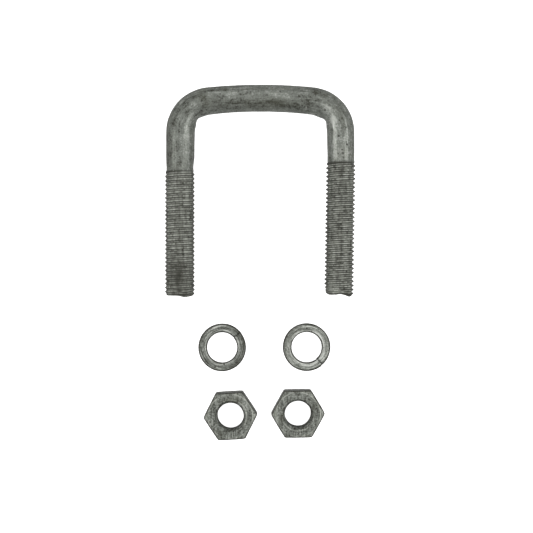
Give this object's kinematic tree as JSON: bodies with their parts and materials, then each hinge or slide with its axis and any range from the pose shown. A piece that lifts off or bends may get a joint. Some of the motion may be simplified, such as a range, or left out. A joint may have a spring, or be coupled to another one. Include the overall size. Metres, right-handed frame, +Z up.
{
  "type": "u-bolt",
  "caption": "Square-bend galvanised steel U-bolt, threaded on both legs, with loose spring washers and hexagon nuts for clamping a bar or tube to a plate or beam.",
  "frame": {"origin": "on the surface that the pieces lie on, at the middle of the whole lay-out seen from above", "axes": "+Z up from that surface; +Y from the leg tips to the crossbar, along the legs; +X from the left leg to the right one"},
  "size_m": [0.0782, 0.1454, 0.0122],
  "materials": {
    "galvanised_bar": "matt hot-dip zinc coating, mottled grey",
    "galvanised_washer": "matt hot-dip zinc coating, mottled grey",
    "galvanised_nut": "matt hot-dip zinc coating, mottled grey"
  },
  "bodies": {
    "u_bolt": {"u_bolt": "galvanised_bar"},
    "spring_washer_left": {"spring_washer_left": "galvanised_washer"},
    "spring_washer_right": {"spring_washer_right": "galvanised_washer"},
    "hex_nut_left": {"hex_nut_left": "galvanised_nut"},
    "hex_nut_right": {"hex_nut_right": "galvanised_nut"}
  },
  "joints": [
    {"name": "washer_travel_left", "type": "slide", "parent": "u_bolt", "child": "spring_washer_left", "axis": [0, 0, 1], "range_m": [0, 0.0525]},
    {"name": "nut_turn_left", "type": "hinge", "parent": "spring_washer_left", "child": "hex_nut_left", "pos_m": [-0.01224, -0.06285, 0], "axis": [0, 0, 1], "range_deg": [0, 10800]},
    {"name": "washer_travel_right", "type": "slide", "parent": "u_bolt", "child": "spring_washer_right", "axis": [0, 0, 1], "range_m": [0, 0.056]},
    {"name": "nut_turn_right", "type": "hinge", "parent": "spring_washer_right", "child": "hex_nut_right", "pos_m": [0.01536, -0.06203, 0], "axis": [0, 0, 1], "range_deg": [0, 11520]}
  ],
  "couplings": [
    {"joint": "washer_travel_left", "follows": "nut_turn_left", "m_per_rad": 0.00027852},
    {"joint": "washer_travel_right", "follows": "nut_turn_right", "m_per_rad": 0.00027852}
  ]
}
